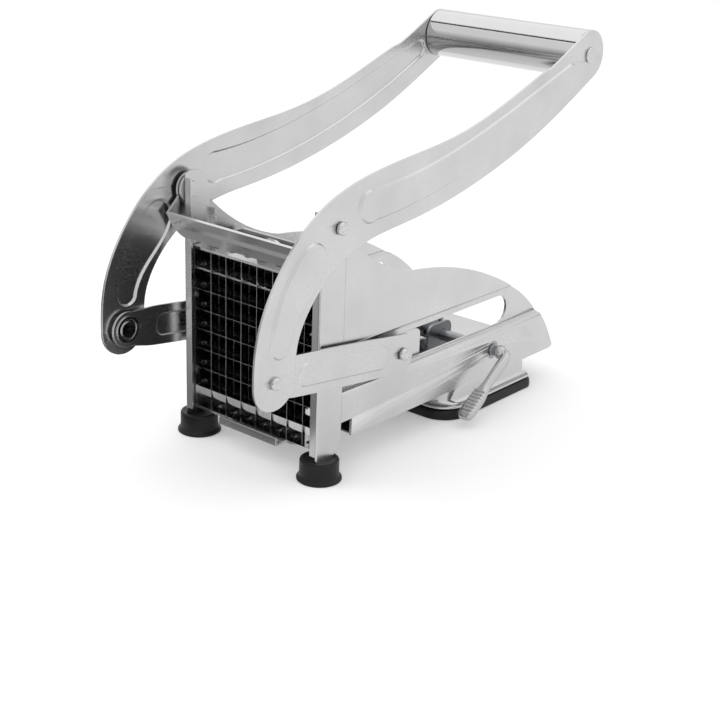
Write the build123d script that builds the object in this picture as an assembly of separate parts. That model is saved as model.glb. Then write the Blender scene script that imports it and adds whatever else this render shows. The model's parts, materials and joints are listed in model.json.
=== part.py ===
from build123d import *
import os
from math import cos, radians, sin

# French fry cutter: a lever press on a suction base. Millimetres, +Z up, -Y is the cutting front,
# X is the width. The origin is the centre of the suction pad's underside, on the table.
# Side-view positions are (behind, height): the distance behind the blades' front edges, and the
# height above the table.

os.makedirs("parts", exist_ok=True)

# Sheet metal and fits
sheet = 1.2
running_gap = 0.3
pin_fit = 0.05
blade_front_y = -125.0

# Blade cassette
cells = 8
pitch = 9.525
blade_depth = 9.5
blade_thickness = 0.6
notch_gap = 0.1
opening_bottom = 13.4
cassette_front = -0.8
cassette_depth = 11.0
cassette_play = 0.8
tab_hole_radius = 1.9
tab_width = 2.4
thumb_tab_radius = 9.0
opening = cells * pitch
opening_top = opening_bottom + opening
cassette_bottom = opening_bottom - sheet
cassette_top = opening_top + sheet
cassette_half = opening / 2 + sheet
cassette_rear = cassette_front + cassette_depth

# Body: posts and side plates share one outer face
body_half = cassette_half + cassette_play + sheet
inner_half = body_half - sheet
post_front = -4.3
post_rear = 11.3
post_foot_rear = 7.0
post_step_height = 12.6
lip_width = 4.5
lip_top = 122.0
post_top_radius = 8.7
post_shoulder_drop = 8.0
plate_rear = 180.0
plate_bottom = 16.2
plate_shoulder = 109.7
guide_drop = 4.0
band_depth = 2.4
band_bottom = 39.9
band_top = 59.6
joggle = 1.6
slot_front = 21.0
slot_rear = 138.0
slot_height = 14.6
notch_rear = 18.5
notch_top = 24.5
slot_centre = 47.6
band_inner = inner_half - band_depth
tray_front = 19.0
tray_overhang = 1.5
tray_lip_drop = 1.4
shelf_front = 2.0
shelf_tongue_half = 18.0
shelf_lip_height = 15.0

# Main pivot and lever arms
pivot = (0.9, 116.2)
lower_rivet = (-37.0, 58.5)
grip = (183.5, 168.2)
arm_inner = body_half + 4.2
arm_end_radius = 12.2
grip_end_radius = 12.0
arm_press = 0.8
pivot_pin_radius = 2.2
pivot_tail_radius = 3.6
pivot_tail_height = 0.8
rivet_radius = 1.9
rivet_head_radius = 2.9
rivet_head_height = 2.0
collar_radius = 5.6
grip_radius = 12.0
grip_wall = 1.2
tie_rod_radius = 4.0
tie_rod_head_radius = 3.8
tie_rod_head_height = 1.0

# Links
link_inner = body_half + 1.6
link_outer = link_inner + sheet
link_tip_radius = 8.2
link_height = 18.6
link_shoulder = 16.8
link_tail = 7.2
link_corner = 7.0
link_pivot = (49.5, slot_centre)
link_press = 0.6
link_panel_middle = 47.0
link_panel_length = 60.0
link_panel_width = 11.4
link_panel_corner = 4.6
eyelet_radius = 3.9
eyelet_height = 0.8
eyelet_flange_radius = 6.2
eyelet_flange = 0.2
eyelet_ring_bore = 4.8
eyelet_ring_height = 0.5

# Retaining bar over the cassette
bar_top = (-12.4, 106.9)
bar_low = (-6.0, 95.2)
bar_half = body_half + 2.1
ear_radius = 7.2
bar_press = 0.6
bar_corner = 5.5
bar_taper = 1.5
bead_width = 2.6

# Carriage and pusher
peg_size = 7.6
peg_tip_size = 6.6
peg_length = 12.0
peg_front = 12.5
pusher_base = 4.0
pusher_rim = 4.6
carriage_sheet = 1.5
flange_rear = 71.0
flange_bottom = 38.5
flange_top = 53.0
slider_length = 16.0
slider_fit = 0.1
screw_radius = 2.0
screw_head_radius = 3.6
screw_head_height = 2.0
screw_slot = 1.0
screw_slot_depth = 0.6
screw_spacing = 44.0

# Suction base
pad_half = 43.5
pad_length = 74.5
pad_height = 5.0
pad_front_radius = 14.0
pad_rear_radius = 6.0
pad_membrane = 2.0
housing_inset = 4.5
housing_flange_inset = 1.0
shaft_height = 28.8
shaft_radius = 3.0
cam_radius = 6.5
cam_throw = 2.6
cam_gap = 0.9
cam_width = 5.0
bracket_half = 10.5
bracket_front = -12.0
bracket_rear = 7.0
bracket_top = 35.8
bracket_thickness = 1.5
bracket_corner = 4.0
bracket_rivet_spread = 6.0
bracket_rivet_radius = 1.6
bracket_rivet_height = 1.0
shaft_tail = 3.0
clip_inset = 0.8
clip_thickness = 1.0
clip_reach = 2.2
stem_radius = 3.0
stem_disc_radius = 20.0
stem_disc_lift = 3.3
stem_disc_height = 2.0
yoke_wall = 2.2

# Suction lever
hub_offset = 4.9
hub_radius = 4.2
lever_radius = 2.4
lever_bend_offset = 9.4
lever_reach = 19.5
lever_drop = 13.6
lever_grip_length = 20.0
lever_grip_width = 8.6
lever_grip_thickness = 4.4

# Rubber feet
foot_height = 10.0
foot_radius = 8.9
foot_rim_radius = 10.2
foot_rim_height = 1.6
foot_dish = 1.2
foot_centre = 37.9
foot_plug_depth = 5.0

side = Plane(origin=(0, blade_front_y, 0), x_dir=(0, 1, 0), z_dir=(1, 0, 0))
nodes = {}


def face(*edges):
    """A closed side-view outline as a flat face."""
    return make_face((Curve() + list(edges)).edges())


def slab(sketch, near, far):
    """A side-view sketch as a sheet between two X positions."""
    return Pos(near, 0, 0) * extrude(side * sketch, amount=far - near, dir=(1, 0, 0))


def disc(near, far, centre, radius, bore=0.0):
    """A round piece along X: a pin, washer, ring or hole cutter."""
    sketch = Pos(*centre) * Circle(radius)
    if bore > 0:
        sketch -= Pos(*centre) * Circle(bore)
    return slab(sketch, near, far)


def block(x0, x1, front, rear, bottom, top):
    """A box between two X positions, two side-view depths and two heights."""
    size = Box(x1 - x0, rear - front, top - bottom)
    centre_y = blade_front_y + (front + rear) / 2
    return Pos((x0 + x1) / 2, centre_y, (bottom + top) / 2) * size


def left(shape):
    """The same piece on the other side of the machine."""
    return mirror(shape, about=Plane.YZ)


def pair(shape):
    """One piece on each side of the machine, in one node."""
    return Part() + [shape, left(shape)]


def dome(face_x, centre, radius, height):
    """A low rivet head standing outwards from face_x."""
    head = disc(face_x, face_x + height, centre, radius)
    rim = head.faces().sort_by(Axis.X)[-1].edges()
    return fillet(rim, height * 0.6)


def offset_point(origin, along, up):
    return (origin[0] + along, origin[1] + up)


# ---------------------------------------------------------------- side plates
def plate_section():
    """Cross-section of a side plate: flat, with one band pressed inwards."""
    steps = [
        (body_half, plate_bottom),
        (body_half, band_bottom - joggle),
        (body_half - band_depth, band_bottom),
        (body_half - band_depth, band_top - joggle),
        (body_half, band_top),
        (body_half, plate_shoulder),
    ]
    inner = [(x - sheet, z) for x, z in reversed(steps)]
    return make_face(Polyline(*steps, *inner, close=True).edges())


def side_plate():
    shoulder = (post_rear, plate_shoulder)
    dip = (57.0, 84.4)
    brow = (137.2, 59.7)
    tail = (plate_rear, plate_bottom + 1.2)
    outline = face(
        Line((post_rear, notch_top), shoulder),
        ThreePointArc(shoulder, (30.0, 95.4), dip),
        ThreePointArc(dip, (98.0, 76.6), brow),
        ThreePointArc(brow, (163.5, 41.0), tail),
        Line(tail, (plate_rear - 2.0, plate_bottom)),
        Line((plate_rear - 2.0, plate_bottom), (notch_rear, plate_bottom)),
        Line((notch_rear, plate_bottom), (notch_rear, notch_top)),
        Line((notch_rear, notch_top), (post_rear, notch_top)),
    )
    section = Plane(origin=(0, blade_front_y + post_rear, 0), x_dir=(1, 0, 0), z_dir=(0, -1, 0))
    pressed = extrude(section * plate_section(), amount=plate_rear, dir=(0, 1, 0))
    plate = pressed & slab(outline, band_inner - sheet, body_half + sheet)
    slot_length = slot_rear - slot_front
    slot_middle = (slot_front + slot_rear) / 2
    slot = Pos(slot_middle, slot_centre) * SlotOverall(slot_length, slot_height)
    plate -= slab(slot, band_inner - sheet, body_half + sheet)
    guide = block(band_inner, inner_half, post_rear, post_rear + sheet,
                  notch_top, plate_shoulder - guide_drop)
    return plate + guide


pad_centre = -blade_front_y
shaft_centre = (pad_centre, shaft_height)
shaft_bush_radius = shaft_radius + 1.5
shaft_hole = disc(inner_half - 1, body_half + 1, shaft_centre, shaft_bush_radius)
nodes["side_plate_right"] = side_plate() - shaft_hole
nodes["side_plate_left"] = left(side_plate())


# ---------------------------------------------------------------- front posts
def post():
    """A channel-section post: outer web, front lip, round head and a tongue into its foot."""
    head_side = offset_point(pivot, post_top_radius, 0)
    crown = offset_point(pivot, 0, post_top_radius)
    lip_corner = (post_front, pivot[1] + (post_top_radius**2 - (pivot[0] - post_front) ** 2) ** 0.5)
    shoulder = (post_rear, pivot[1] - post_shoulder_drop)
    tongue_bottom = foot_height - foot_plug_depth
    web = face(
        Line((post_front, tongue_bottom), lip_corner),
        ThreePointArc(lip_corner, crown, head_side),
        Line(head_side, shoulder),
        Line(shoulder, (post_rear, post_step_height)),
        Line((post_rear, post_step_height), (post_foot_rear, post_step_height)),
        Line((post_foot_rear, post_step_height), (post_foot_rear, tongue_bottom)),
        Line((post_foot_rear, tongue_bottom), (post_front, tongue_bottom)),
    )
    channel = slab(web, inner_half, body_half)
    lip_x = body_half - lip_width
    channel += block(lip_x, body_half, post_front, post_front + sheet, cassette_bottom, lip_top)
    channel -= disc(inner_half - 1, body_half + 1, pivot, pivot_pin_radius)
    return channel


nodes["post_right"] = post()
nodes["post_left"] = left(nodes["post_right"])


# ---------------------------------------------------------------- bottom tray and front cross bar
def bottom_tray():
    tray_rear = plate_rear + tray_overhang
    floor = block(-inner_half, inner_half, tray_front, tray_rear, plate_bottom, plate_bottom + sheet)
    lip = block(-inner_half + 2, inner_half - 2, tray_rear - sheet, tray_rear,
                plate_bottom - tray_lip_drop, plate_bottom)
    stem_hole = Pos(0, 0, plate_bottom) * Cylinder(stem_radius + running_gap, 4 * sheet)
    return floor + lip - stem_hole


def front_cross_bar():
    top = cassette_bottom
    shelf = block(-inner_half, inner_half, shelf_front, post_rear, top - sheet, top)
    tongue_front = post_front - sheet
    tongue = block(-shelf_tongue_half, shelf_tongue_half, tongue_front, shelf_front, top - sheet, top)
    lip = block(-shelf_tongue_half, shelf_tongue_half, tongue_front, tongue_front + sheet,
                top - sheet, shelf_lip_height)
    return shelf + tongue + lip


nodes["bottom_tray"] = bottom_tray()
nodes["front_cross_bar"] = front_cross_bar()


# ---------------------------------------------------------------- rubber feet
def foot():
    """A turned rubber foot with a dished top, a flared rim and a pocket for the post's tongue."""
    middle = blade_front_y + (post_front + post_foot_rear) / 2
    profile = Polyline(
        (0, 0),
        (foot_rim_radius, 0),
        (foot_rim_radius, foot_rim_height),
        (foot_radius + 0.3, foot_rim_height + 0.6),
        (foot_radius, foot_height),
        (foot_radius - 1.6, foot_height),
        (0, foot_height - foot_dish),
        close=True,
    )
    body = revolve(Plane.XZ * make_face(profile.edges()), axis=Axis.Z)
    pocket = block(inner_half, body_half, post_front, post_foot_rear,
                   foot_height - foot_plug_depth, foot_height + 1)
    return Pos(foot_centre, middle, 0) * body - pocket


nodes["foot_right"] = foot()
nodes["foot_left"] = left(nodes["foot_right"])


# ---------------------------------------------------------------- blade cassette
def blade_offsets():
    """Positions of the blades between the cells, from the middle of the opening."""
    return [(k - cells / 2) * pitch for k in range(1, cells)]


def cassette_frame():
    outer = block(-cassette_half, cassette_half, cassette_front, cassette_rear,
                  cassette_bottom, cassette_top)
    inner = block(-opening / 2, opening / 2, cassette_front - 1, cassette_rear + 1,
                  opening_bottom, opening_top)
    frame = outer - inner
    middle_z = (opening_bottom + opening_top) / 2
    middle_y = blade_front_y + blade_depth / 2
    across = Rot(0, 90, 0) * Cylinder(tab_hole_radius, 2 * cassette_half + 2)
    upright = Cylinder(tab_hole_radius, 2 * cassette_half + 2)
    for offset in blade_offsets():
        frame -= Pos(0, middle_y, middle_z + offset) * across
        frame -= Pos(offset, middle_y, middle_z) * upright
    tab = Pos(0, cassette_top) * Circle(thumb_tab_radius)
    tab &= Pos(0, cassette_top + thumb_tab_radius) * Rectangle(40, 2 * thumb_tab_radius)
    upper = Plane(origin=(0, blade_front_y + cassette_rear, 0), x_dir=(1, 0, 0), z_dir=(0, -1, 0))
    return frame + extrude(upper * tab, amount=sheet, dir=(0, -1, 0))


def upright_blade(offset):
    middle_z = (opening_bottom + opening_top) / 2
    half = blade_thickness / 2
    blade = block(offset - half, offset + half, 0, blade_depth, opening_bottom, opening_top)
    blade += block(offset - half, offset + half, (blade_depth - tab_width) / 2,
                   (blade_depth + tab_width) / 2, cassette_bottom + 0.1, cassette_top + 0.6)
    for crossing in blade_offsets():
        low = middle_z + crossing - half - notch_gap / 2
        high = middle_z + crossing + half + notch_gap / 2
        blade -= block(offset - 1, offset + 1, blade_depth / 2, blade_depth + 1, low, high)
    return blade


def level_blade(offset):
    height = (opening_bottom + opening_top) / 2 + offset
    half = blade_thickness / 2
    blade = block(-opening / 2, opening / 2, 0, blade_depth, height - half, height + half)
    blade += block(-cassette_half - 0.5, cassette_half + 0.5, (blade_depth - tab_width) / 2,
                   (blade_depth + tab_width) / 2, height - half, height + half)
    for crossing in blade_offsets():
        near = crossing - half - notch_gap / 2
        far = crossing + half + notch_gap / 2
        blade -= block(near, far, -1, blade_depth / 2, height - 1, height + 1)
    return blade


nodes["cassette_frame"] = cassette_frame()
nodes["upright_blades"] = Part() + [upright_blade(offset) for offset in blade_offsets()]
nodes["level_blades"] = Part() + [level_blade(offset) for offset in blade_offsets()]


# ---------------------------------------------------------------- suction base
def rounded_plan(half_width, length, front_radius, rear_radius):
    """A rectangle seen from above, with large front corners and small rear corners."""
    plan = Rectangle(2 * half_width, length)
    corners = plan.vertices().sort_by(Axis.Y)
    plan = fillet(corners[:2], front_radius)
    corners = plan.vertices().sort_by(Axis.Y)
    return fillet(corners[-2:], rear_radius)


def suction_pad():
    pad = extrude(rounded_plan(pad_half, pad_length, pad_front_radius, pad_rear_radius), pad_height)
    hollow_radius = stem_disc_radius + 4
    hollow = Pos(0, 0, pad_membrane) * Cylinder(
        hollow_radius, pad_height, align=(Align.CENTER, Align.CENTER, Align.MIN)
    )
    return pad - hollow


def suction_housing():
    """A pressed cover: a flange on the pad, straight walls and a flat top under the tray."""
    wall_half = pad_half - housing_inset
    wall_length = pad_length - 2 * housing_inset
    front_radius = pad_front_radius - housing_inset + 2
    rear_radius = pad_rear_radius - housing_inset + 2
    flange_plan = rounded_plan(pad_half - housing_flange_inset, pad_length - 2 * housing_flange_inset,
                               pad_front_radius - housing_flange_inset,
                               pad_rear_radius - housing_flange_inset)
    outer_plan = rounded_plan(wall_half, wall_length, front_radius, rear_radius)
    inner_plan = rounded_plan(wall_half - sheet, wall_length - 2 * sheet,
                              front_radius - sheet, rear_radius - sheet)
    cover = Pos(0, 0, pad_height) * extrude(outer_plan, plate_bottom - pad_height)
    cover += Pos(0, 0, pad_height) * extrude(flange_plan, sheet)
    cover -= Pos(0, 0, pad_height - 1) * extrude(inner_plan, plate_bottom - pad_height - sheet + 1)
    return cover - Pos(0, 0, plate_bottom) * Cylinder(stem_radius + running_gap, 4 * sheet)


def shaft_bracket():
    """A U-shaped bracket on the tray that carries the cam shaft between two cheeks."""
    floor = plate_bottom + sheet
    front = pad_centre + bracket_front
    rear = pad_centre + bracket_rear
    middle = ((front + rear) / 2, (floor + bracket_top) / 2)
    cheek_face = Pos(*middle) * Rectangle(rear - front, bracket_top - floor)
    upper = cheek_face.vertices().sort_by(Axis.Y)[-2:]
    cheek_face = fillet(upper, bracket_corner)
    cheek = slab(cheek_face, bracket_half - bracket_thickness, bracket_half)
    base = block(-bracket_half, bracket_half, front, rear, floor, floor + sheet)
    bracket = cheek + left(cheek) + base
    bracket -= disc(-bracket_half - 1, bracket_half + 1, shaft_centre, shaft_radius + pin_fit)
    return bracket - Pos(0, 0, floor) * Cylinder(stem_radius + running_gap, 4 * sheet)


def bracket_rivets():
    rivets = []
    floor = plate_bottom + sheet
    middle = floor + sheet + bracket_rivet_height / 2
    for x in (-bracket_rivet_spread, bracket_rivet_spread):
        for y in (bracket_front + 3.5, bracket_rear - 1.8):
            rivets.append(Pos(x, y, middle) * Cylinder(bracket_rivet_radius, bracket_rivet_height))
    return Part() + rivets


nodes["suction_pad"] = suction_pad()
nodes["suction_housing"] = suction_housing()
nodes["shaft_bracket"] = shaft_bracket()
nodes["bracket_rivets"] = bracket_rivets()
nodes["shaft_bush"] = disc(inner_half - 0.8, body_half, shaft_centre, shaft_bush_radius,
                           shaft_radius + pin_fit)


# ---------------------------------------------------------------- cam shaft, cam and suction lever
def round_bar(start, end, radius):
    """A straight round bar between two points."""
    length = (end - start).length
    bar = extrude(Circle(radius), length)
    return Plane(origin=start, z_dir=(end - start).normalized()) * bar


def suction_lever():
    """A bent rod with a ball hub on the shaft and a flat ribbed end for the fingers."""
    hub_x = body_half + hub_offset
    hub = Pos(hub_x, 0, shaft_height) * Sphere(hub_radius)
    bend = Vector(body_half + lever_bend_offset, -0.6, shaft_height - 1.0)
    neck = Vector(bend.X, -lever_reach, shaft_height - lever_drop)
    start = Vector(hub_x, 0, shaft_height)
    run = (neck - bend).normalized()
    rod = round_bar(start, bend, lever_radius) + round_bar(bend, neck, lever_radius)
    rod += Pos(bend) * Sphere(lever_radius)
    half = lever_grip_width / 2
    shoulder = lever_grip_length * 0.45
    plan = Polyline(
        (-lever_radius, 0),
        (lever_radius, 0),
        (half, shoulder),
        (half, lever_grip_length - 2),
        (half - 2, lever_grip_length),
        (2 - half, lever_grip_length),
        (-half, lever_grip_length - 2),
        (-half, shoulder),
        close=True,
    )
    across = Vector(1, 0, 0)
    grip_plane = Plane(origin=neck - run * 1.5, x_dir=across, z_dir=across.cross(run))
    handle = extrude(grip_plane * make_face(plan.edges()), lever_grip_thickness / 2, both=True)
    lever = hub + rod + handle
    return lever - disc(hub_x - hub_radius - 1, hub_x + 1.0, shaft_centre, shaft_radius - 0.5)


def cam_shaft():
    inner_end = -bracket_half - shaft_tail
    clip_end = inner_end + clip_inset
    shoulder = body_half + 0.9
    shaft = disc(inner_end, shoulder, shaft_centre, shaft_radius)
    spigot = disc(shoulder, body_half + hub_offset + 1.0, shaft_centre, shaft_radius - 0.5)
    groove = disc(clip_end, clip_end + clip_thickness, shaft_centre, shaft_radius + 1, shaft_radius - 0.6)
    return shaft + spigot - groove


def lift_cam():
    """An eccentric disc on the shaft; its high point is up while the lever is down."""
    lobe_centre = offset_point(shaft_centre, 0, cam_throw)
    lobe = disc(-cam_width / 2, cam_width / 2, lobe_centre, cam_radius)
    return lobe - disc(-cam_width, cam_width, shaft_centre, shaft_radius)


def shaft_clip():
    clip_end = -bracket_half - shaft_tail + clip_inset
    return disc(clip_end, clip_end + clip_thickness, shaft_centre, shaft_radius + clip_reach,
                shaft_radius - 0.6)


nodes["suction_lever"] = suction_lever()
nodes["cam_shaft"] = cam_shaft()
nodes["lift_cam"] = lift_cam()
nodes["shaft_clip"] = shaft_clip()


# ---------------------------------------------------------------- cup stem
def cup_stem():
    """The stem that the cam lifts: a window round the cam, a rod and its disc on the pad."""
    disc_bottom = pad_membrane + stem_disc_lift
    window_top = shaft_height + cam_throw + cam_radius + cam_gap
    window_bottom = shaft_height + cam_throw - cam_radius - cam_gap
    yoke_top = window_top + yoke_wall
    yoke_bottom = window_bottom - yoke_wall
    window_half = cam_radius + cam_throw + running_gap
    yoke_half = window_half + yoke_wall
    yoke = block(-1.8, 1.8, pad_centre - yoke_half, pad_centre + yoke_half, yoke_bottom, yoke_top)
    yoke -= block(-3, 3, pad_centre - window_half, pad_centre + window_half,
                  window_bottom, window_top)
    length = yoke_bottom - disc_bottom
    rod = Pos(0, 0, disc_bottom + length / 2) * Cylinder(stem_radius, length)
    plate = Pos(0, 0, disc_bottom + stem_disc_height / 2) * Cylinder(stem_disc_radius, stem_disc_height)
    return yoke + rod + plate


nodes["cup_stem"] = cup_stem()


# ---------------------------------------------------------------- main pivot
def pivot_pin():
    arm_outer = arm_inner + sheet
    tail_end = inner_half - pivot_tail_height
    shank = disc(tail_end, arm_outer + running_gap, pivot, pivot_pin_radius)
    inner_head = disc(tail_end, inner_half, pivot, pivot_tail_radius)
    outer_head = dome(arm_outer + running_gap, pivot, rivet_head_radius, rivet_head_height)
    return shank + inner_head + outer_head


nodes["pivot_pins"] = pair(pivot_pin())
nodes["pivot_spacers"] = pair(
    disc(body_half, bar_half - sheet / 2 - running_gap, pivot, post_top_radius - 1.7, pivot_pin_radius)
)


# ---------------------------------------------------------------- lever arms and grip
def pressed_sheet(outline, panels, near, depth):
    """A sheet with panels pressed outwards: raised on its outer face and hollow on its inner face."""
    part = slab(outline, near, near + sheet)
    for panel in panels:
        part += slab(panel, near + sheet, near + sheet + depth)
        part -= slab(panel, near - 1, near + depth)
    return part


def arm_outline():
    """Cranked arm: a half-round grip end, a long bowed beam and a round lower end."""
    lean = radians(27)
    beam = (sin(lean), cos(lean))
    grip_upper = offset_point(grip, -grip_end_radius * beam[0], grip_end_radius * beam[1])
    grip_tip = offset_point(grip, grip_end_radius * beam[1], grip_end_radius * beam[0])
    grip_lower = offset_point(grip, grip_end_radius * beam[0], -grip_end_radius * beam[1])
    end_outer = offset_point(lower_rivet, -arm_end_radius, 0)
    end_low = offset_point(lower_rivet, 0, -arm_end_radius)
    end_inner = offset_point(lower_rivet, arm_end_radius, 0)
    outer_edge = Spline(
        end_outer,
        offset_point(lower_rivet, -10.1, 21.5),
        offset_point(pivot, -34.6, -10.5),
        offset_point(pivot, -11.4, 9.9),
        offset_point(pivot, 14.7, 18.7),
        offset_point(pivot, 68.0, 25.7),
        offset_point(grip, -69.7, -15.1),
        offset_point(grip, -37.3, -3.7),
        grip_upper,
        tangents=((0, 1), (beam[1], beam[0])),
    )
    inner_edge = Spline(
        grip_lower,
        offset_point(grip, -38.6, -31.9),
        offset_point(grip, -64.3, -41.5),
        offset_point(pivot, 91.5, 2.8),
        offset_point(pivot, 67.5, -2.4),
        offset_point(pivot, 40.2, -6.1),
        offset_point(pivot, 17.8, -9.1),
        offset_point(pivot, -11.1, -23.8),
        offset_point(lower_rivet, 12.9, 12.0),
        end_inner,
        tangents=((-beam[1], -beam[0]), (0, -1)),
    )
    return face(
        outer_edge,
        ThreePointArc(grip_upper, grip_tip, grip_lower),
        inner_edge,
        ThreePointArc(end_inner, end_low, end_outer),
    )


def upper_rib():
    """The long shallow rib pressed into the beam."""
    top_front = offset_point(pivot, 20.0, 13.6)
    top_rear = offset_point(grip, -19.5, -2.6)
    low_rear = offset_point(grip, -15.5, -11.8)
    low_front = offset_point(pivot, 22.0, -1.2)
    return face(
        Spline(top_front, offset_point(pivot, 72.1, 21.0), offset_point(grip, -56.2, -15.0), top_rear),
        ThreePointArc(top_rear, offset_point(grip, -11.8, -5.8), low_rear),
        Spline(low_rear, offset_point(grip, -60.7, -31.4), offset_point(pivot, 73.4, 6.2), low_front),
        ThreePointArc(low_front, offset_point(pivot, 11.0, 6.6), top_front),
    )


def lower_rib():
    """The curved rib between the main pivot and the lower rivet, broader at its top."""
    top_outer = offset_point(pivot, -21.6, -4.6)
    top_inner = offset_point(pivot, -7.9, -12.6)
    low_outer = offset_point(lower_rivet, -3.0, 16.8)
    low_inner = offset_point(lower_rivet, 7.8, 12.2)
    return face(
        Spline(top_outer, offset_point(pivot, -30.5, -14.1), offset_point(lower_rivet, -0.1, 29.9),
               low_outer),
        ThreePointArc(low_outer, offset_point(lower_rivet, 2.2, 9.2), low_inner),
        Spline(low_inner, offset_point(lower_rivet, 12.6, 22.8), offset_point(pivot, -13.0, -21.7),
               top_inner),
        ThreePointArc(top_inner, offset_point(pivot, -13.4, -3.2), top_outer),
    )


def lever_arm():
    arm = pressed_sheet(arm_outline(), [upper_rib(), lower_rib()], arm_inner, arm_press)
    arm -= disc(arm_inner - 1, arm_inner + sheet + 1, pivot, pivot_pin_radius + pin_fit)
    arm -= disc(arm_inner - 1, arm_inner + sheet + 1, lower_rivet, rivet_radius)
    return arm - disc(arm_inner - 1, arm_inner + sheet + 1, grip, tie_rod_radius - 1)


def grip_tie_rod():
    """A rod through the grip, shouldered inside the arms and riveted over outside them."""
    outer = arm_inner + sheet
    rod = disc(-arm_inner, arm_inner, grip, tie_rod_radius)
    rod += disc(-outer, outer, grip, tie_rod_radius - 1)
    head = dome(outer, grip, tie_rod_head_radius, tie_rod_head_height)
    return rod + head + left(head)


def grip_plug():
    return disc(arm_inner - 4.0, arm_inner, grip, grip_radius - grip_wall, tie_rod_radius)


def lower_rivet_solid():
    """The rivet at the arm's lower end, which holds the link close inside the arm."""
    shank = disc(arm_inner - 0.2, arm_inner + sheet, lower_rivet, rivet_radius)
    return shank + dome(arm_inner + sheet, lower_rivet, rivet_head_radius, rivet_head_height)


nodes["lever_arm_right"] = lever_arm()
nodes["lever_arm_left"] = left(nodes["lever_arm_right"])
nodes["grip_tube"] = disc(-arm_inner, arm_inner, grip, grip_radius, grip_radius - grip_wall)
nodes["grip_tie_rod"] = grip_tie_rod()
nodes["grip_plugs"] = pair(grip_plug())
nodes["arm_rivets"] = pair(lower_rivet_solid())
nodes["arm_collars"] = pair(
    disc(link_outer + running_gap, arm_inner - 0.2, lower_rivet, collar_radius)
    + disc(arm_inner - 0.2, arm_inner, lower_rivet, collar_radius, rivet_radius)
)


# ---------------------------------------------------------------- links
def link_outline():
    """A flat link with a broad rounded rear end, tapering slightly to its round front end."""
    reach = link_pivot[0] - lower_rivet[0]
    drop = link_pivot[1] - lower_rivet[1]
    length = (reach**2 + drop**2) ** 0.5
    body_front = link_shoulder
    body_rear = length + link_tail
    body = Pos((body_front + body_rear) / 2, 0) * Rectangle(body_rear - body_front, link_height)
    body = fillet(body.vertices().sort_by(Axis.X)[-2:], link_corner)
    half = link_height / 2
    taper = Polyline(
        (1.0, -link_tip_radius + 0.4),
        (link_shoulder, -half),
        (link_shoulder, half),
        (1.0, link_tip_radius - 0.4),
        close=True,
    )
    return body + make_face(taper.edges()) + Circle(link_tip_radius)


def link_panel():
    """The shallow panel pressed out of the link, in the link's own direction."""
    panel = RectangleRounded(link_panel_length, link_panel_width, link_panel_corner)
    return Pos(link_panel_middle, 0) * panel


def along_link(sketch):
    """Places a sketch drawn along the link, from the arm's rivet towards the carriage pivot."""
    reach = link_pivot[0] - lower_rivet[0]
    drop = link_pivot[1] - lower_rivet[1]
    tilt = Vector(reach, drop).get_signed_angle(Vector(1, 0, 0), Vector(0, 0, -1))
    return Pos(*lower_rivet) * Rot(0, 0, tilt) * sketch


def link():
    plate = pressed_sheet(along_link(link_outline()), [along_link(link_panel())], link_inner, link_press)
    plate -= disc(link_inner - 1, link_outer + 1, lower_rivet, rivet_radius)
    return plate - disc(link_inner - 1, link_outer + 1, link_pivot, rivet_radius + pin_fit)


def link_eyelet():
    """The eyelet in the link's front end: a flange with a raised ring round its flat middle."""
    face_x = link_inner - eyelet_flange
    eyelet = disc(face_x, link_inner, lower_rivet, eyelet_flange_radius)
    eyelet += disc(link_inner - eyelet_ring_height, face_x, lower_rivet,
                   eyelet_flange_radius, eyelet_ring_bore)
    eyelet += disc(link_inner - eyelet_height, face_x, lower_rivet, eyelet_radius)
    return eyelet + disc(link_inner, link_outer, lower_rivet, rivet_radius)


nodes["link_right"] = link()
nodes["link_left"] = left(nodes["link_right"])
nodes["link_eyelet_right"] = link_eyelet()
nodes["link_eyelet_left"] = left(nodes["link_eyelet_right"])


# ---------------------------------------------------------------- retaining bar
def retaining_bar():
    """A pressed bar across the cassette's top, hung from the main pivot by an ear at each end."""
    rise = Vector(bar_top[0] - bar_low[0], bar_top[1] - bar_low[1])
    height = rise.length
    up = Vector(0, rise.X, rise.Y).normalized()
    origin = Vector(0, blade_front_y + bar_low[0], bar_low[1])
    front = Plane(origin=origin, x_dir=(1, 0, 0), z_dir=up.cross(Vector(-1, 0, 0)))
    half = bar_half + sheet / 2
    low_half = half - bar_taper
    strip_edge = Polyline((-half, height), (-low_half, 0), (low_half, 0), (half, height), close=True)
    strip = make_face(strip_edge.edges())
    strip = fillet(strip.vertices().sort_by(Axis.Y)[:2], bar_corner)
    groove = Pos(0, height * 0.66) * SlotOverall(2 * half - 13.0, height * 0.32)
    bead = Pos(0, height * 0.38) * SlotOverall(2 * half - 13.0, bead_width)
    bar = extrude(front * strip, amount=-sheet) + extrude(front * bead, amount=bar_press)
    bar += extrude(front * groove, amount=-sheet - bar_press)
    bar -= extrude(front * groove, amount=-bar_press)
    ear_side = Polyline(
        bar_top,
        offset_point(pivot, -5.3, -1.7),
        pivot,
        offset_point(pivot, 5.1, -5.2),
        offset_point(bar_low, 2.0, 3.0),
        offset_point(bar_low, 0.3 * rise.X, 0.3 * rise.Y),
        close=True,
    )
    ear_face = make_face(ear_side.edges()) + Pos(*pivot) * Circle(ear_radius)
    ear = slab(ear_face, bar_half - sheet / 2, bar_half + sheet / 2)
    ear -= disc(bar_half - 2, bar_half + 2, pivot, pivot_pin_radius + pin_fit)
    return bar + ear + left(ear)


nodes["retaining_bar"] = retaining_bar()


# ---------------------------------------------------------------- carriage and pusher
pusher_front = peg_front + peg_length
pusher_rear = pusher_front + pusher_base
pusher_half = (cells - 1) / 2 * pitch + peg_size / 2
pusher_low = plate_bottom + sheet + 0.6
pusher_high = opening_top - pitch / 2 + peg_size / 2 + pusher_rim


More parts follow.
